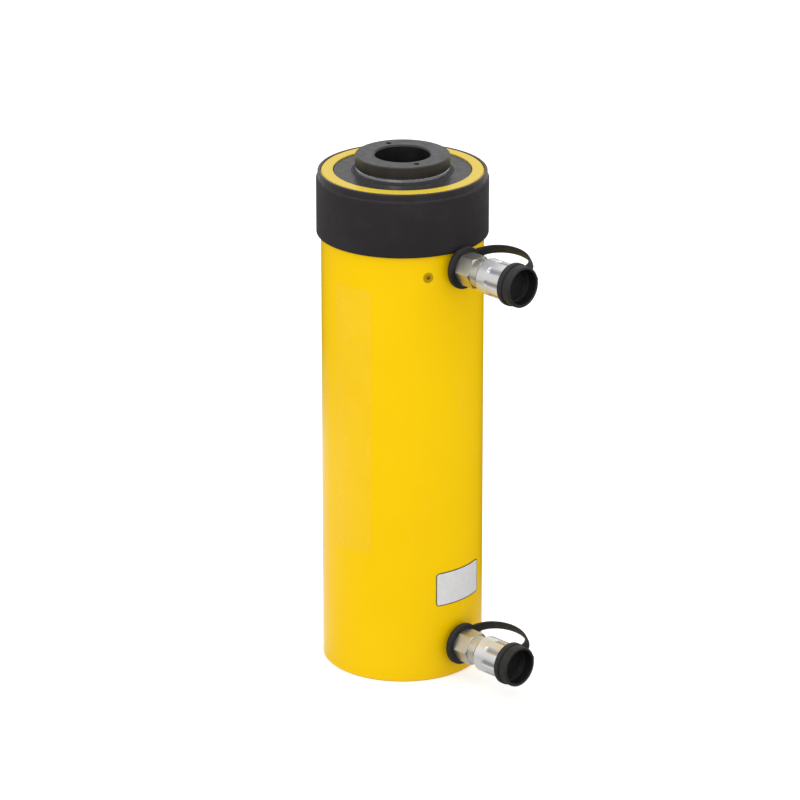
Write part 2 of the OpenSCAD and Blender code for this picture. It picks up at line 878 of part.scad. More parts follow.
at_relief() relief_plug();
at_relief() relief_poppet();
at_relief() relief_spring();
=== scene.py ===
import json
import math

import bpy
import numpy as np
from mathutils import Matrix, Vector


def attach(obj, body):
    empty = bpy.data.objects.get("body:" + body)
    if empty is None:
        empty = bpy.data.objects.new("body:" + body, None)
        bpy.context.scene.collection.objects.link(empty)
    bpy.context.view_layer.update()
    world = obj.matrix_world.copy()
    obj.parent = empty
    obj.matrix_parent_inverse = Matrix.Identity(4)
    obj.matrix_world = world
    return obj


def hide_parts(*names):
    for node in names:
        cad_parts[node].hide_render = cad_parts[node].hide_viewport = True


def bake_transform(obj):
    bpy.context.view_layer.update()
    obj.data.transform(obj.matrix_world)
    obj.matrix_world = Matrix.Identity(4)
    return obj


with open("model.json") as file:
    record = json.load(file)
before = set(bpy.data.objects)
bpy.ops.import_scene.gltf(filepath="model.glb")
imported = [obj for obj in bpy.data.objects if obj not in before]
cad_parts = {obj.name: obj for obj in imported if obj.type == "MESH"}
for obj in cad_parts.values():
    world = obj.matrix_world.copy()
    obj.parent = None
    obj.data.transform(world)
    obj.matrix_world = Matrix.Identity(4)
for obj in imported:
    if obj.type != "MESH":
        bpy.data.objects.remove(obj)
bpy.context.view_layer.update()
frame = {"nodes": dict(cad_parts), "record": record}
NODES = frame["nodes"]

# Sizes in millimetres, in the CAD part's own frame
# Along a coupler or the relief valve, distances run out from the barrel's surface
MM = 0.001
FIT = 0.05
FREE_GAP = 0.3

# Barrel, protector, plunger and wiper
BARREL_R = 79.5
BARREL_H = 508.6
COLLAR_R = 79.375
COLLAR_Z = 445.1
THREAD_PITCH = 2.117
PROTECTOR_R = 84.075
PROTECTOR_STEP = 1.5
PROTECTOR_RIM_Z = BARREL_H - 6.5
PLUNGER_R = 46.0
GLAND_Z = BARREL_H - 1.0
WIPER_T = 4.0
WIPER_LIP = 1.6
WIPER_SUNK = 3.0

# Couplers
UPPER_Z = 429.1
LOWER_Z = 35.0
SEAT = -1.6
NECK_R = 13.0
HEX_FLAT_R = 14.9
SHANK_R = 14.7
SHANK_TO = 37.5
HEX_TO = 28.5
SLEEVE_FROM = 40.0
SLEEVE_TO = 72.0
SLEEVE_R = 18.0
SLEEVE_STEP = 44.0
NOSE_R = 14.0
SLEEVE_BORE_R = NOSE_R + FREE_GAP
NOSE_TO = 68.0
MOUTH_R = 10.4
MOUTH_FLOOR = 53.0
FLUTES = 8
FLUTE_R = 6.0
FLUTE_DEPTH = 1.5

# Rings, dust caps and straps
TETHER_R = 21.05
TETHER_H = 5.0
TETHER_FROM = 4.875
CAP_FROM = SLEEVE_TO + FREE_GAP
CAP_TO = 88.0
CAP_FLANGE_R = 21.25
CAP_FLANGE_H = 5.5
CAP_R = 20.25
CAP_HOLLOW_R = 17.3
CAP_FLOOR = CAP_FROM + 3.0
PLUG_FROM = 59.0
STRAP_W = 10.0
STRAP_T = 2.6
STRAP_BOW = 22.0
STRAP_ANGLE = 60.0
TAB_ANGLE = 80.0

# Relief valve
RELIEF_Z = 422.6
RELIEF_ANGLE = -25.0

# Springs as (radius, wire radius, from, to, turns)
COUPLER_SPRING = (5.6, 0.8, 14.02, 43.98, 5)
RELIEF_SPRING = (3.0, 0.5, -9.53, -5.82, 3)

# Patches on the barrel as (angle in degrees, height of the middle, width, height, corner)
PLATE = (2.8, 95.7, 60.0, 35.0, 3.5)
PLATE_LIFT = 0.3
PLATE_LINE_W = 0.9
PLATE_LINE_LIFT = 0.36
FILM = (-82.0, 272.0, 44.7, 274.0, 5.0)
FILM_LIFT = 0.12


# Shapes


def put_mesh(name, points, faces, sharp_deg=38.0):
    """An object from an array of points in millimetres and a list of face arrays, smooth but for edges
    sharper than an angle. The faces of a closed shape are turned outwards by the sign of its volume."""
    points = np.asarray(points, float) * MM
    volume = 0.0
    for block in faces:
        for k in range(1, block.shape[1] - 1):
            a, b, c = points[block[:, 0]], points[block[:, k]], points[block[:, k + 1]]
            volume += float((a * np.cross(b, c)).sum())
    listed = [row for block in faces for row in (block if volume > 0 else block[:, ::-1]).tolist()]
    mesh = bpy.data.meshes.new(name)
    mesh.from_pydata(points.tolist(), [], listed)
    mesh.polygons.foreach_set("use_smooth", np.ones(len(mesh.polygons), bool))
    mesh.set_sharp_from_angle(angle=math.radians(sharp_deg))
    mesh.update()
    piece = bpy.data.objects.new(name, mesh)
    bpy.context.scene.collection.objects.link(piece)
    return piece


def loop_faces(rows, columns, closed):
    """Quads between neighbouring rows of points, round each row, and from the last row to the first if
    closed."""
    last = rows if closed else rows - 1
    i, j = np.meshgrid(np.arange(last), np.arange(columns), indexing="ij")
    i, j = i.ravel(), j.ravel()
    ni, nj = (i + 1) % rows, (j + 1) % columns
    return np.stack([i * columns + j, ni * columns + j, ni * columns + nj, i * columns + nj], 1)


def fan_faces(row, columns, pole):
    """Triangles from one row of points to a single point."""
    j = np.arange(columns)
    return np.stack([row * columns + j, row * columns + (j + 1) % columns, np.full(columns, pole)], 1)


def put_rings(name, rings, closed=False, sharp_deg=38.0):
    """A tube of rings, an array of rings by points by xyz. A closed tube runs back into itself; an open one
    has its two ends drawn together in the middle of the end rings."""
    rows, columns = rings.shape[:2]
    points = rings.reshape(-1, 3)
    faces = [loop_faces(rows, columns, closed)]
    if not closed:
        ends = np.stack([rings[0].mean(0), rings[-1].mean(0)])
        points = np.concatenate([points, ends])
        faces.append(fan_faces(0, columns, rows * columns)[:, ::-1])
        faces.append(fan_faces(rows - 1, columns, rows * columns + 1))
    return put_mesh(name, points, faces, sharp_deg)


def rounded(corners, steps=6):
    """A profile with each corner (radius from the axis, distance along it, rounding) replaced by an arc that
    is tangent to both its sides."""
    corners = np.asarray(corners, float)
    out = []
    for k in range(len(corners)):
        p, size = corners[k, :2], corners[k, 2]
        before, after = corners[k - 1, :2] - p, corners[(k + 1) % len(corners), :2] - p
        if size <= 0:
            out.append(p[None])
            continue
        a, b = before / np.linalg.norm(before), after / np.linalg.norm(after)
        half = math.acos(float(np.clip(a @ b, -1, 1))) / 2
        cut = size / math.tan(half)
        middle = p + (a + b) / np.linalg.norm(a + b) * size / math.sin(half)
        start, end = p + a * cut - middle, p + b * cut - middle
        turn = np.linspace(0, 1, steps + 1)[:, None]
        arc = start * (1 - turn) + end * turn
        out.append(middle + arc / np.linalg.norm(arc, axis=1)[:, None] * size)
    return np.concatenate(out)


def turn_angles(count):
    """Even angles once round, from 0."""
    return np.linspace(0, 2 * math.pi, count, endpoint=False)


def soft_power(values, power):
    """Each value to a power with its sign kept."""
    return np.sign(values) * np.abs(values) ** power


def upright(radius, along, angle):
    """Points round the cylinder's own axis, from radius, height and angle."""
    return np.stack(np.broadcast_arrays(radius * np.cos(angle), radius * np.sin(angle), along), -1)


def on_port(height, turn_deg=0.0):
    """A placing function for one port: distance runs out of the barrel, along +X turned about the barrel's
    axis, and angle 0 is up."""
    c, s = math.cos(math.radians(turn_deg)), math.sin(math.radians(turn_deg))

    def place(radius, along, angle):
        x, y = BARREL_R + along, radius * np.sin(angle)
        z = height + radius * np.cos(angle)
        return np.stack(np.broadcast_arrays(c * x - s * y, s * x + c * y, z), -1)
    return place


def turned(name, profile, place, count, closed=True):
    """A profile of (radius, along) carried once round the axis that place knows. A closed one runs back into
    itself; an open one goes from the axis to the axis, where both its ends are closed."""
    rings = place(profile[:, :1], profile[:, 1:2], turn_angles(count)[None, :])
    return put_rings(name, rings, closed)


# Materials


class Finish:
    """A material's node tree with short calls for the nodes that the finishes share."""

    def __init__(self, name, color, metallic=0.0, roughness=0.5):
        self.material = bpy.data.materials.new(name)
        self.material.use_nodes = True
        self.nodes = self.material.node_tree.nodes
        self.links = self.material.node_tree.links
        self.shader = self.nodes["Principled BSDF"]
        self.set("Base Color", (*color, 1))
        self.set("Metallic", metallic)
        self.set("Roughness", roughness)
        self.place = self.nodes.new("ShaderNodeTexCoord").outputs["Object"]

    def set(self, socket, value):
        """A constant on the shader's own socket."""
        self.shader.inputs[socket].default_value = value

    def link(self, output, socket):
        """A node's output to a socket of the shader."""
        self.links.new(output, self.shader.inputs[socket])

    def noise(self, scale, detail=3.0, rough=0.55, stretch=None):
        """Noise in cells per metre; stretch gives each axis its own share of the scale."""
        node = self.nodes.new("ShaderNodeTexNoise")
        node.inputs["Scale"].default_value = scale
        node.inputs["Detail"].default_value = detail
        node.inputs["Roughness"].default_value = rough
        source = self.place
        if stretch:
            mapping = self.nodes.new("ShaderNodeMapping")
            mapping.inputs["Scale"].default_value = stretch
            self.links.new(self.place, mapping.inputs["Vector"])
            source = mapping.outputs["Vector"]
        self.links.new(source, node.inputs["Vector"])
        return node.outputs["Fac"]

    def axis(self, name):
        """One of the place's X, Y and Z."""
        node = self.nodes.new("ShaderNodeSeparateXYZ")
        self.links.new(self.place, node.inputs[0])
        return node.outputs[name]

    def math(self, kind, a, b=0):
        """A Math node on one or two values, each a number or a node's output."""
        node = self.nodes.new("ShaderNodeMath")
        node.operation = kind
        for socket, value in zip(node.inputs, (a, b)):
            if isinstance(value, (int, float)):
                socket.default_value = value
            else:
                self.links.new(value, socket)
        return node.outputs[0]

    def off_coupler(self):
        """The distance from the axis of the nearer coupler, which runs along X."""
        height = self.axis("Z")
        rise = self.math("MINIMUM", self.math("ABSOLUTE", self.math("SUBTRACT", height, UPPER_Z * MM)),
                         self.math("ABSOLUTE", self.math("SUBTRACT", height, LOWER_Z * MM)))
        squares = self.math("ADD", self.math("POWER", self.axis("Y"), 2), self.math("POWER", rise, 2))
        return self.math("SQRT", squares)

    def span(self, value, low, high, to_low, to_high):
        """Maps a stretch of one value to another, held at both ends."""
        node = self.nodes.new("ShaderNodeMapRange")
        for socket, number in zip(node.inputs[1:5], (low, high, to_low, to_high)):
            socket.default_value = number
        self.links.new(value, node.inputs[0])
        return node.outputs[0]

    def vector(self, kind, a, b=None):
        """A Vector Math node on one vector, or on one and a second given as plain numbers."""
        node = self.nodes.new("ShaderNodeVectorMath")
        node.operation = kind
        self.links.new(a, node.inputs[0])
        if b:
            node.inputs[1].default_value = b
        return node.outputs["Value" if kind in ("LENGTH", "DOT_PRODUCT") else "Vector"]

    def mix(self, factor, a, b):
        """A blend of two colours, each plain numbers or a node's output."""
        node = self.nodes.new("ShaderNodeMix")
        node.data_type = "RGBA"
        self.links.new(factor, node.inputs[0])
        for socket, value in zip((node.inputs[6], node.inputs[7]), (a, b)):
            if isinstance(value, tuple):
                socket.default_value = (*value, 1)
            else:
                self.links.new(value, socket)
        return node.outputs[2]

    def bump(self, height, distance, strength):
        """Relief in the finish, as deep as a distance in metres."""
        node = self.nodes.new("ShaderNodeBump")
        node.inputs["Distance"].default_value = distance
        node.inputs["Strength"].default_value = strength
        self.links.new(height, node.inputs["Height"])
        self.link(node.outputs["Normal"], "Normal")


def yellow_enamel():
    """Glossy yellow paint with faint mottling, orange peel and dull scuffs. Over the collar's height it gives
    way to oily steel with a helical thread, which runs once round in a pitch, and on the top edge it is thin
    and paler."""
    f = Finish("yellow_enamel", (0.98, 0.62, 0.0), roughness=0.24)
    f.set("Specular IOR Level", 0.13)
    height = f.axis("Z")
    mottle = f.span(f.noise(9, 4), 0.35, 0.65, 0, 1)
    paint = f.mix(mottle, (0.97, 0.607, 0.0), (0.99, 0.632, 0.0003))
    edge = f.span(height, (BARREL_H - 0.6) * MM, (BARREL_H - 0.2) * MM, 0, 1)
    paint = f.mix(edge, paint, (0.78, 0.565, 0.055))
    above = f.span(height, (COLLAR_Z + 0.5) * MM, (COLLAR_Z + 1.0) * MM, 0, 1)
    thread = f.math("SUBTRACT", above, f.span(height, (BARREL_H - 1.4) * MM, (BARREL_H - 1.0) * MM, 0, 1))
    f.link(f.mix(thread, paint, (0.2, 0.195, 0.185)), "Base Color")
    scuff = f.span(f.noise(26, 6, 0.7, (1, 1, 0.35)), 0.56, 0.72, 0.2, 0.34)
    f.link(scuff, "Roughness")
    turn = f.math("DIVIDE", f.math("ARCTAN2", f.axis("Y"), f.axis("X")), 2 * math.pi)
    climb = f.math("ADD", f.math("DIVIDE", height, THREAD_PITCH * MM), turn)
    ridge = f.math("MULTIPLY", f.math("PINGPONG", climb, 0.5), thread)
    peel = f.math("MULTIPLY", f.noise(420, 2), 0.04)
    f.bump(f.math("ADD", ridge, peel), 0.0016, 0.6)
    return f.material


def plug_enamel():
    """The same paint on the relief plug, darkened to mustard as painted shade of the recess that it lies in.
    """
    f = Finish("plug_enamel", (0.47, 0.29, 0.002), roughness=0.5)
    f.set("Specular IOR Level", 0.1)
    # Both tones are the paint darkened to mustard: painted shade of the plug's recess, mottled at random.
    shaded_mottle = f.span(f.noise(500, 4), 0.35, 0.65, 0, 1)
    f.link(f.mix(shaded_mottle, (0.4, 0.24, 0.002), (0.54, 0.34, 0.002)), "Base Color")
    f.link(f.span(f.noise(700, 3), 0.3, 0.7, 0.42, 0.6), "Roughness")
    return f.material


def black_moulding():
    """Matte black moulded plastic, with a smooth and shinier rim at the top and a fine grain below it."""
    f = Finish("black_moulding", (0.018, 0.0145, 0.017), roughness=0.6)
    f.set("Specular IOR Level", 0.36)
    rim = f.span(f.axis("Z"), (PROTECTOR_RIM_Z - 0.4) * MM, PROTECTOR_RIM_Z * MM, 0, 1)
    dust = f.span(f.noise(38, 5, 0.7), 0.5, 0.75, 0, 1)
    f.link(f.mix(dust, (0.0165, 0.013, 0.0155), (0.0235, 0.02, 0.0225)), "Base Color")
    grain = f.span(f.noise(160, 4), 0.3, 0.7, 0.5, 0.64)
    f.link(f.math("SUBTRACT", grain, f.math("MULTIPLY", rim, 0.28)), "Roughness")
    f.bump(f.noise(1500, 3), 0.00008, 0.5)
    return f.material


def black_oxide():
    """Blackened machined steel, with a light turning grain and dull patches."""
    f = Finish("black_oxide", (0.015, 0.014, 0.015), roughness=0.34)
    patch = f.span(f.noise(60, 5, 0.65), 0.35, 0.7, 0, 1)
    f.link(f.mix(patch, (0.011, 0.0098, 0.0108), (0.019, 0.0176, 0.0188)), "Base Color")
    f.link(f.span(f.noise(140, 4), 0.3, 0.7, 0.28, 0.42), "Roughness")
    f.bump(f.noise(900, 2), 0.00003, 0.4)
    return f.material


def hard_chrome():
    """Ground and polished chrome with fine lengthwise wipe marks."""
    f = Finish("hard_chrome", (0.62, 0.63, 0.645), metallic=0.75, roughness=0.15)
    f.link(f.span(f.noise(300, 3, 0.6, (1, 1, 0.05)), 0.3, 0.7, 0.13, 0.18), "Roughness")
    return f.material


def machined_steel():
    """Bare turned steel, a little oily."""
    f = Finish("machined_steel", (0.46, 0.46, 0.47), metallic=1.0, roughness=0.38)
    oil = f.span(f.noise(40, 4), 0.3, 0.7, 0, 1)
    f.link(f.mix(oil, (0.4, 0.39, 0.385), (0.52, 0.52, 0.53)), "Base Color")
    f.link(f.span(f.noise(500, 3, 0.6, (0.05, 0.05, 1)), 0.3, 0.7, 0.28, 0.48), "Roughness")
    return f.material


def zinc_plate():
    """Bright zinc on steel with soft clouds: the sleeves pale, partly dulled by a white bloom, their flutes
    grey with painted shade, the necks behind them more metallic and painted darker and warmer, as shade
    behind the sleeves and a reflection of the yellow barrel."""
    f = Finish("zinc_plate", (0.8, 0.81, 0.82), metallic=0.8, roughness=0.36)
    cloud = f.span(f.noise(45, 2, 0.4), 0.4, 0.68, 0, 1)
    out = f.span(f.axis("X"), (BARREL_R + SHANK_TO) * MM, (BARREL_R + SLEEVE_FROM) * MM, 0, 1)
    # Painted shade and painted reflection: the neck's tones are darker and warmer, standing for shade behind
    # the sleeve and the yellow barrel's reflection.
    neck = f.mix(cloud, (0.66, 0.645, 0.575), (0.57, 0.555, 0.49))
    sleeve = f.mix(cloud, (0.82, 0.83, 0.845), (0.72, 0.73, 0.745))
    # Painted shade: the flutes' concave floors are painted dark grey.
    flute = f.span(f.off_coupler(), (SLEEVE_R - FLUTE_DEPTH) * MM, (SLEEVE_R - 0.3) * MM, 1, 0)
    f.link(f.mix(out, neck, f.mix(flute, sleeve, (0.36, 0.365, 0.375))), "Base Color")
    f.link(f.span(out, 0, 1, 0.94, 0.74), "Metallic")
    f.link(f.span(f.noise(60, 2, 0.4), 0.3, 0.7, 0.31, 0.37), "Roughness")
    return f.material


def black_rubber():
    """Matte moulded rubber with a dusty bloom, and the caps' hollows painted near black as their shade; the
    hollows lie within a radius of one coupler's axis and past the cap's floor."""
    f = Finish("black_rubber", (0.02, 0.0195, 0.02), roughness=0.6)
    f.set("Specular IOR Level", 0.4)
    bloom = f.span(f.noise(120, 5, 0.7), 0.5, 0.78, 0, 1)
    rubber = f.mix(bloom, (0.0165, 0.016, 0.0168), (0.03, 0.0292, 0.0305))
    # Painted shade: the caps' hollows are painted near black.
    hollow = f.span(f.off_coupler(), (CAP_HOLLOW_R - 0.1) * MM, (CAP_HOLLOW_R + 0.5) * MM, 1, 0)
    front = f.span(f.axis("X"), (BARREL_R + CAP_FLOOR - 1) * MM, (BARREL_R + CAP_FLOOR) * MM, 0, 1)
    f.link(f.mix(f.math("MULTIPLY", hollow, front), rubber, (0.005, 0.0045, 0.005)), "Base Color")
    f.link(f.span(f.noise(240, 4), 0.3, 0.7, 0.5, 0.68), "Roughness")
    f.bump(f.noise(1400, 3), 0.00006, 0.5)
    return f.material


def plate_silver():
    """Pale satin aluminium foil of the blank plate."""
    f = Finish("plate_silver", (0.8, 0.8, 0.8), metallic=0.12, roughness=0.4)
    grain = f.span(f.noise(200, 4), 0.35, 0.65, 0, 1)
    f.link(f.mix(grain, (0.8, 0.8, 0.805), (0.86, 0.86, 0.865)), "Base Color")
    f.link(f.span(f.noise(400, 3), 0.3, 0.7, 0.34, 0.46), "Roughness")
    return f.material


def plate_ink():
    """Dark printed line of the plate."""
    f = Finish("plate_ink", (0.05, 0.05, 0.055), roughness=0.5)
    f.link(f.span(f.noise(500, 3), 0.3, 0.7, 0.45, 0.6), "Roughness")
    return f.material


def film_gloss():
    """Clear film over the paint: the paint's yellow through a faint milky layer."""
    f = Finish("film_gloss", (0.97, 0.61, 0.008), roughness=0.24)
    f.set("Specular IOR Level", 0.25)
    mottle = f.span(f.noise(9, 4), 0.35, 0.65, 0, 1)
    f.link(f.mix(mottle, (0.955, 0.595, 0.005), (0.985, 0.63, 0.011)), "Base Color")
    f.link(f.span(f.noise(60, 5), 0.35, 0.7, 0.18, 0.32), "Roughness")
    return f.material


def bronze():
    """Machined bearing bronze."""
    f = Finish("bronze", (0.58, 0.36, 0.15), metallic=1.0, roughness=0.35)
    f.link(f.span(f.noise(400, 3), 0.3, 0.7, 0.28, 0.45), "Roughness")
    return f.material


def seal_plastic():
    """Moulded red-brown seal."""
    f = Finish("seal_plastic", (0.36, 0.06, 0.03), roughness=0.45)
    f.link(f.span(f.noise(400, 3), 0.3, 0.7, 0.38, 0.52), "Roughness")
    return f.material


FINISHES = {
    "yellow_enamel": yellow_enamel(),
    "black_moulding": black_moulding(),
    "black_oxide_steel": black_oxide(),
    "hard_chrome": hard_chrome(),
    "bare_steel": machined_steel(),
    "bronze": bronze(),
    "seal_plastic": seal_plastic(),
    "black_rubber": black_rubber(),
    "zinc_plated_steel": zinc_plate(),
    "spring_steel": machined_steel(),
}
for entry in frame["record"]["subparts"]:
    node = NODES[entry["node"]]
    node.data.materials.clear()
    node.data.materials.append(FINISHES[entry["material_slot"]])

NODES["relief_plug"].data.materials[0] = plug_enamel()


def dress(piece, slot, body, *nodes, material=None):
    """Gives a piece its finish, body and the CAD nodes that it stands for."""
    piece.data.materials.append(material or FINISHES[slot])
    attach(piece, body)
    if nodes:
        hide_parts(*nodes)


def dress_between(piece, slot, node):
    """Gives a piece its finish and the CAD node that it stands for, and bakes its placing into its points."""
    piece.data.materials.append(FINISHES[slot])
    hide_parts(node)
    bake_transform(piece)


# Thread protector and wiper


def protector_band():
    """A turned band: rounded foot, plain wall, small step and a smooth rim."""
    inner = COLLAR_R + FREE_GAP
    rim = PROTECTOR_R - PROTECTOR_STEP
    profile = rounded([
        (inner, COLLAR_Z, 0.4),
        (PROTECTOR_R, COLLAR_Z, 1.2),
        (PROTECTOR_R, PROTECTOR_RIM_Z - PROTECTOR_STEP, 0.6),
        (rim, PROTECTOR_RIM_Z, 0.6),
        (rim, BARREL_H, 1.1),
        (inner, BARREL_H, 0.5),
    ])
    return turned("protector_band", profile, upright, 192)


def wiper_lip():
    """The rubber lip round the plunger, turned from a wedge with a soft edge."""
    inner, outer, foot = PLUNGER_R + FIT, PLUNGER_R + WIPER_T - FIT, GLAND_Z - WIPER_SUNK
    profile = rounded([
        (inner, foot, 0),
        (outer, foot, 0),
        (outer, GLAND_Z, 0.4),
        (PLUNGER_R + WIPER_T / 2, GLAND_Z + WIPER_LIP, 0.5),
        (inner, GLAND_Z + WIPER_LIP, 0.3),
    ])
    return turned("wiper_lip", profile, upright, 160)


dress(protector_band(), "black_moulding", "protector", "thread_protector")
dress(wiper_lip(), "black_rubber", "cylinder", "rod_wiper")


# Couplers


def coupler_neck(name, place):
    """The neck, hexagon and nose as one turned skin: radius over distance and angle. The hexagon's stretch
    takes the flat's radius over the cosine of the angle from the nearest flat, softly held under a radius
    just past its corners and cut by a cone at both ends."""
    rows, count = 48, 180
    soft, past_corner, cone_cut, cone_slope = 14.0, 1.0, 1.8, 1.2
    hex_from = TETHER_FROM + TETHER_H + FREE_GAP
    back = rounded([(0, SEAT, 0), (NECK_R, SEAT, 0.4), (NECK_R, hex_from, 0)], 4)
    stretch = np.linspace(hex_from + 0.02, HEX_TO - 0.02, rows)
    front = rounded([
        (SHANK_R, HEX_TO, 0), (SHANK_R, SHANK_TO, 0.6), (NECK_R, SHANK_TO, 0.2),
        (NECK_R, SLEEVE_STEP + FREE_GAP, 0.2), (NOSE_R, SLEEVE_STEP + FREE_GAP, 0.3),
        (NOSE_R, NOSE_TO, 0.7), (MOUTH_R, NOSE_TO, 0.5), (MOUTH_R, MOUTH_FLOOR, 0), (0, MOUTH_FLOOR, 0)], 4)
    angle = turn_angles(count)[None, :]
    fold = (angle + math.pi / 6) % (math.pi / 3) - math.pi / 6
    corner = HEX_FLAT_R / math.cos(math.pi / 6)
    end = np.minimum(stretch - hex_from, HEX_TO - stretch)[:, None]
    held = ((HEX_FLAT_R / np.cos(fold)) ** -soft + (corner + past_corner) ** -soft) ** (-1 / soft)
    cone = corner - cone_cut + cone_slope * end
    hexagon = np.maximum(NECK_R, np.minimum(held * HEX_FLAT_R / held.min(), cone))
    radius = np.concatenate([back[:, :1] + 0 * angle, hexagon, front[:, :1] + 0 * angle])
    along = np.concatenate([back[:, 1], stretch, front[:, 1]])[:, None]
    return put_rings(name, place(radius, along, angle), sharp_deg=26.0)


def coupler_sleeve(name, place):
    """The locking sleeve: a turned skin whose radius is cut back, at each flute, to the nearer wall of a
    round-nosed cutter that lies along the sleeve; the cutter's radius falls to nothing along a circle at the
    flute's closed end."""
    rows, count = 70, 320
    back_r = NECK_R + 0.1
    start = rounded([(back_r, SLEEVE_FROM, 0.3), (SLEEVE_R, SLEEVE_FROM, 1.8), (SLEEVE_R, SLEEVE_TO, 0)])[:-1]
    side = np.stack([np.full(rows, SLEEVE_R), np.linspace(SLEEVE_FROM + 1.9, SLEEVE_TO - 0.9, rows)], 1)
    finish = rounded([
        (SLEEVE_R, SLEEVE_FROM, 0), (SLEEVE_R, SLEEVE_TO, 0.8), (SLEEVE_BORE_R, SLEEVE_TO, 0.4),
        (SLEEVE_BORE_R, SLEEVE_STEP, 0), (back_r, SLEEVE_STEP, 0)])[1:]
    profile = np.concatenate([start, side, finish])
    angle = turn_angles(count)[None, :]
    along = profile[:, 1:2]
    pitch = 2 * math.pi / FLUTES
    fold = (angle + pitch / 2) % pitch - pitch / 2
    nose = (SLEEVE_FROM + SLEEVE_TO) / 2
    cutter = np.sqrt(np.maximum(FLUTE_R ** 2 - np.maximum(nose - along, 0) ** 2, 0))
    middle = SLEEVE_R + FLUTE_R - FLUTE_DEPTH
    reach = cutter ** 2 - (middle * np.sin(fold)) ** 2
    wall = np.where(reach > 0, middle * np.cos(fold) - np.sqrt(np.maximum(reach, 0)), 2 * SLEEVE_R)
    outer = profile[:, :1] > SLEEVE_BORE_R + 1.0
    radius = np.where(outer, np.minimum(profile[:, :1], wall), profile[:, :1])
    return put_rings(name, place(radius, along, angle), closed=True, sharp_deg=30.0)


def tether_ring(name, place):
    """A flat rubber ring with rounded edges."""
    inner, front = NECK_R + FIT, TETHER_FROM + TETHER_H
    profile = rounded([
        (inner, TETHER_FROM, 0.4), (TETHER_R, TETHER_FROM, 1.1),
        (TETHER_R, front, 1.3), (inner, front, 0.5)], 5)
    return turned(name, profile, place, 96)


def bezier(points, t):
    """The Bezier curve of any number of points, by repeated means of neighbours."""
    rows = [np.asarray(p, float)[None, :] * np.ones((len(t), 1)) for p in points]
    while len(rows) > 1:
        rows = [(1 - t)[:, None] * a + t[:, None] * b for a, b in zip(rows, rows[1:])]
    return rows[0]


def cap_strap(name, place):
    """A flat moulded strap: a rounded flat section carried along a bowed curve of distance and radius, at one
    angle round the coupler. It thickens by a bell-shaped share towards both ends, which are sunk in the
    pieces that they are moulded to."""
    start, finish = TETHER_FROM + TETHER_H / 2, CAP_FROM + CAP_FLANGE_H / 2
    lead, sink, flare, square = STRAP_BOW / 4, 2.5, 3.5, 0.55
    widen, thicken = 0.1, 0.6
    t = np.linspace(0, 1, 72)
    line = bezier([
        (start, TETHER_R), (start + lead, TETHER_R + STRAP_BOW / 2),
        ((start + finish) / 2, SLEEVE_R + STRAP_BOW * 5 / 4),
        (finish + lead / 3, CAP_FLANGE_R + STRAP_BOW * 3 / 4), (finish, CAP_FLANGE_R)], t)
    first, last = line[1] - line[0], line[-1] - line[-2]
    before = line[:1] - first / np.linalg.norm(first) * sink
    after = line[-1:] + last / np.linalg.norm(last) * sink
    line = np.concatenate([before, line, after])
    tangent = np.gradient(line, axis=0)
    tangent /= np.linalg.norm(tangent, axis=1)[:, None]
    run = np.concatenate([[0], np.cumsum(np.linalg.norm(np.diff(line, axis=0), axis=1))])
    turn = math.radians(STRAP_ANGLE)
    swell = np.exp(-((run - sink) / flare) ** 2) + np.exp(-((run[-1] - sink - run) / flare) ** 2)
    out = np.array([0, math.sin(turn), math.cos(turn)])
    across = np.array([0, math.cos(turn), -math.sin(turn)])
    normal = tangent[:, :1] * out - tangent[:, 1:2] * np.array([1.0, 0, 0])
    a = turn_angles(32)
    width = soft_power(np.cos(a), square)[None] * STRAP_W / 2 * (1 + widen * swell[:, None])
    thick = soft_power(np.sin(a), square)[None] * STRAP_T / 2 * (1 + thicken * swell[:, None])
    centre = place(line[:, 1], line[:, 0], turn)
    rings = centre[:, None] + width[..., None] * across + thick[..., None] * normal[:, None]
    return put_rings(name, rings, sharp_deg=60.0)


def dust_cap(name, place):
    """The cap turned from one profile: plug, flange, groove, barrel, soft lip and a hollow front with a low
    ring on its floor."""
    plug, groove, hollow = MOUTH_R - FREE_GAP, CAP_R - 0.8, CAP_HOLLOW_R
    flange = CAP_FROM + CAP_FLANGE_H
    profile = rounded([
        (0, PLUG_FROM, 0), (plug, PLUG_FROM, 1.2), (plug, CAP_FROM, 0),
        (CAP_FLANGE_R, CAP_FROM, 1.2), (CAP_FLANGE_R, flange, 1.6),
        (groove, flange + 0.2, 0.2), (groove, flange + 0.8, 0.3), (CAP_R, flange + 1.6, 0.5),
        (CAP_R, CAP_TO, 1.5), (hollow, CAP_TO, 1.1), (hollow - 0.5, CAP_FLOOR + 3, 0.8),
        (hollow - 3, CAP_FLOOR + 2.4, 0.8), (hollow - 4, CAP_FLOOR, 0.8), (0, CAP_FLOOR, 0)])
    return turned(name, profile, place, 128, closed=False)


def pull_tab(name, place):
    """A small moulded nub on the cap's rim: a ball with its cosines and sines drawn towards a block."""
    half_long, half_wide, half_tall, set_back, square = 2.2, 2.4, 1.4, 3.5, 0.6
    u = np.linspace(-math.pi / 2, math.pi / 2, 17)[1:-1, None]
    v = turn_angles(24)[None, :]
    ring = soft_power(np.cos(u), square)
    along = CAP_TO - set_back + half_long * ring * soft_power(np.cos(v), square)
    side = half_wide * ring * soft_power(np.sin(v), square)
    radius = CAP_R + half_tall * soft_power(np.sin(u), square) + 0 * v
    return put_rings(name, place(radius, along, math.radians(TAB_ANGLE) + side / CAP_R), sharp_deg=60.0)


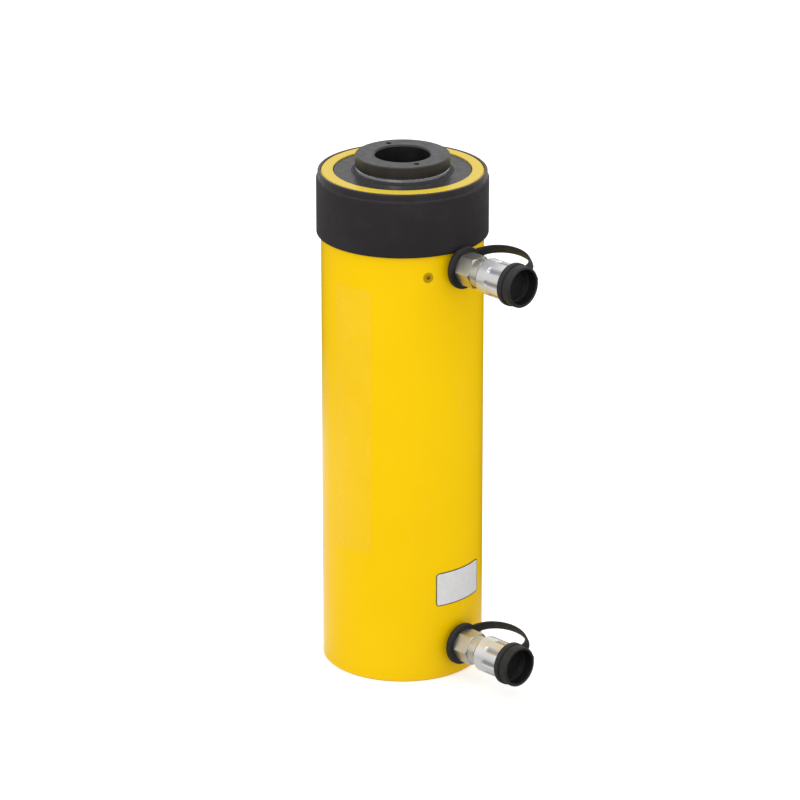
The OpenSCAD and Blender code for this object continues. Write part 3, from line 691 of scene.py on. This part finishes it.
def valve_spring(name, place, size, node):
    """A coil of round wire: a circle of the wire's radius carried along an even helix."""
    radius, wire, start, finish, turns = size
    t = np.linspace(0, 1, 24 * turns + 1)[:, None]
    b = turn_angles(12)[None, :]
    along = start + wire + (finish - start - 2 * wire) * t + wire * np.sin(b)
    piece = put_rings(name, place(radius + wire * np.cos(b), along, 2 * math.pi * turns * t))
    ends = place(0.0, np.array([start + 2 * wire, finish - 2 * wire]), 0.0) * MM
    dress_between(piece, "spring_steel", node)


for end, height in (("upper", UPPER_Z), ("lower", LOWER_Z)):
    place = on_port(height)
    dress(coupler_neck(f"{end}_coupler_neck", place), "zinc_plated_steel", "cylinder", f"{end}_coupler_body")
    dress(coupler_sleeve(f"{end}_locking_sleeve", place), "zinc_plated_steel", f"{end}_sleeve",
          f"{end}_coupler_sleeve")
    dress(tether_ring(f"{end}_strap_ring", place), "black_rubber", "cylinder", f"{end}_tether_ring")
    dress(dust_cap(f"{end}_rubber_cap", place), "black_rubber", f"{end}_cap", f"{end}_dust_cap")
    dress(pull_tab(f"{end}_cap_pull_tab", place), "black_rubber", f"{end}_cap")
    dress_between(cap_strap(f"{end}_rubber_strap", place), "black_rubber", f"{end}_cap_strap")
    valve_spring(f"{end}_valve_spring", place, COUPLER_SPRING, f"{end}_coupler_spring")
valve_spring("relief_valve_spring", on_port(RELIEF_Z, RELIEF_ANGLE), RELIEF_SPRING, "relief_spring")


# Plate and film


def patch_outline(width, tall, corner, count=40):
    """A rectangle with round corners, as (along the barrel's girth, up): quarter circles joined by edges in
    even steps."""
    arc = np.linspace(0, math.pi / 2, 9)
    flat = np.linspace(0, 1, count)[1:-1, None]
    parts = []
    for k, (sx, sy) in enumerate(((1, 1), (-1, 1), (-1, -1), (1, -1))):
        a = arc + k * math.pi / 2
        parts.append(np.stack([sx * (width / 2 - corner) + corner * np.cos(a),
                               sy * (tall / 2 - corner) + corner * np.sin(a)], 1))
    following = parts[1:] + parts[:1]
    return np.concatenate([
        np.concatenate([p, p[-1] * (1 - flat) + q[0] * flat]) for p, q in zip(parts, following)])


def on_barrel(flat, angle_deg, height, lift):
    """Wraps flat (girth, up) points round the barrel at a lift above its paint."""
    radius = BARREL_R + lift
    return upright(radius, height + flat[..., 1], math.radians(angle_deg) + flat[..., 0] / BARREL_R)


def barrel_patch(name, angle_deg, height, width, tall, corner, lift):
    """A thin label: copies of its outline shrunk towards the middle, wrapped round the barrel, with an edge
    that goes just under the paint and a hidden back."""
    sunk = -0.25
    outline = patch_outline(width, tall, corner)
    shares = np.concatenate([np.linspace(0.02, 0.98, 24), [0.995, 1.0]])
    top = on_barrel(outline[None] * shares[:, None, None], angle_deg, height, lift)
    back = on_barrel(outline[None] * shares[::-1, None, None], angle_deg, height, sunk)
    return put_rings(name, np.concatenate([top, back]), sharp_deg=30.0)


def plate_line(name, angle_deg, height, width, tall, corner, line, lift):
    """A thin closed line that follows a rounded outline on the barrel: its section is a four-cornered loop of
    the outer and inner outlines, raised and sunk."""
    sunk = -0.1
    outer = patch_outline(width, tall, corner)
    inner = patch_outline(width - 2 * line, tall - 2 * line, corner - line)
    section = ((outer, lift), (inner, lift), (inner, sunk), (outer, sunk))
    rings = np.stack([on_barrel(outline, angle_deg, height, level) for outline, level in section])
    return put_rings(name, rings, closed=True, sharp_deg=30.0)


dress(barrel_patch("blank_plate", *PLATE, PLATE_LIFT), "bare_steel", "cylinder", material=plate_silver())
dress(plate_line("blank_plate_line", *PLATE, PLATE_LINE_W, PLATE_LINE_LIFT), "black_moulding", "cylinder",
      material=plate_ink())
dress(barrel_patch("bare_film", *FILM, FILM_LIFT), "yellow_enamel", "cylinder", material=film_gloss())


# Floor, light and camera


def floor():
    """A wide pale plate a hair under the base. The camera sees it a little brighter than its light makes it,
    so that it comes out white round a thin contact shadow. Reflections see a dark studio floor with pale
    paper close to the object, far out and on its left: there the level follows the cosine of the angle from
    the left and falls off with distance."""
    size, drop, camera_glow = 6.0, -0.0002, 0.47
    leftwards = (-0.978, -0.207, 0)
    mesh = bpy.data.meshes.new("floor")
    mesh.from_pydata([(-size, -size, drop), (size, -size, drop), (size, size, drop), (-size, size, drop)], [],
                     [(0, 1, 2, 3)])
    piece = bpy.data.objects.new("floor", mesh)
    bpy.context.scene.collection.objects.link(piece)
    f = Finish("pale_floor", (0.86, 0.86, 0.86), roughness=0.9)
    f.set("Specular IOR Level", 0.1)
    f.set("Emission Color", (1, 1, 1, 1))
    path = f.nodes.new("ShaderNodeLightPath").outputs
    f.link(f.math("MULTIPLY", path["Is Camera Ray"], camera_glow), "Emission Strength")
    away = f.vector("LENGTH", f.place)
    left = f.vector("DOT_PRODUCT", f.vector("NORMALIZE", f.place), leftwards)
    side = f.math("MULTIPLY", f.span(left, 0.1, 0.9, 0.01, 0.95), f.span(away, 0.6, 0.95, 1, 0.06))
    near = f.span(away, 0.1, 0.26, 0.6, 0.01)
    far = f.span(away, 1.35, 1.75, 0.01, 0.75)
    level = f.math("MAXIMUM", f.math("MAXIMUM", side, near), far)
    card = f.nodes.new("ShaderNodeEmission")
    f.links.new(level, card.inputs["Strength"])
    split = f.nodes.new("ShaderNodeMixShader")
    f.links.new(path["Is Glossy Ray"], split.inputs[0])
    f.links.new(f.shader.outputs[0], split.inputs[1])
    f.links.new(card.outputs[0], split.inputs[2])
    f.links.new(split.outputs[0], f.nodes["Material Output"].inputs["Surface"])
    mesh.materials.append(f.material)


def studio_world():
    """Even soft light. The camera sees white, and reflections see a sky that brightens upwards."""
    ambient, horizon = 0.9, 0.75
    world = bpy.data.worlds.new("studio")
    bpy.context.scene.world = world
    world.use_nodes = True
    nodes, links = world.node_tree.nodes, world.node_tree.links
    background = nodes["Background"]
    background.inputs["Color"].default_value = (1, 1, 1, 1)
    path = nodes.new("ShaderNodeLightPath").outputs
    axes = nodes.new("ShaderNodeSeparateXYZ")
    links.new(nodes.new("ShaderNodeTexCoord").outputs["Generated"], axes.inputs[0])
    sky = nodes.new("ShaderNodeMapRange")
    for socket, value in zip(sky.inputs[1:5], (0.0, 0.55, horizon, 1.0)):
        socket.default_value = value
    links.new(axes.outputs["Z"], sky.inputs[0])
    level = ambient
    for seen, value in ((path["Is Glossy Ray"], sky.outputs[0]), (path["Is Camera Ray"], 1.0)):
        mix = nodes.new("ShaderNodeMix")
        links.new(seen, mix.inputs[0])
        for socket, source in ((mix.inputs[2], level), (mix.inputs[3], value)):
            if isinstance(source, float):
                socket.default_value = source
            else:
                links.new(source, socket)
        level = mix.outputs[0]
    links.new(level, background.inputs["Strength"])


def softbox(name, place, aim, size, power):
    """A rectangular lamp at a place, turned to its aim."""
    light = bpy.data.lights.new(name, "AREA")
    light.shape = "RECTANGLE"
    light.size, light.size_y = size
    light.energy = power
    lamp = bpy.data.objects.new(name, light)
    bpy.context.scene.collection.objects.link(lamp)
    lamp.location = place
    lamp.rotation_euler = (Vector(aim) - Vector(place)).to_track_quat("-Z", "Y").to_euler()


def photo_camera():
    """A long lens some 20 degrees above the level, with the couplers half turned towards it on the right."""
    turn, rise, away = math.radians(46.6), math.radians(20.7), 4.77
    aim_height, aim_left = 0.269, 0.0025
    right = Vector((math.cos(turn), math.sin(turn), 0))
    aim = Vector((0, 0, aim_height)) - right * aim_left
    towards = Vector((math.sin(turn) * math.cos(rise), -math.cos(turn) * math.cos(rise), math.sin(rise)))
    data = bpy.data.cameras.new("photo_camera")
    data.sensor_width = 36
    data.lens = 217.6
    camera = bpy.data.objects.new("photo_camera", data)
    bpy.context.scene.collection.objects.link(camera)
    camera.location = aim + towards * away
    camera.rotation_euler = (-towards).to_track_quat("-Z", "Y").to_euler()
    bpy.context.scene.camera = camera


floor()
studio_world()
softbox("front_softbox", (1.2, -2.4, 1.6), (0, 0, 0.25), (1.6, 1.6), 12)
softbox("top_softbox", (-0.2, 0.2, 2.6), (0, 0, 0.3), (1.6, 1.6), 8)
photo_camera()
bpy.context.scene.view_settings.view_transform = "Standard"
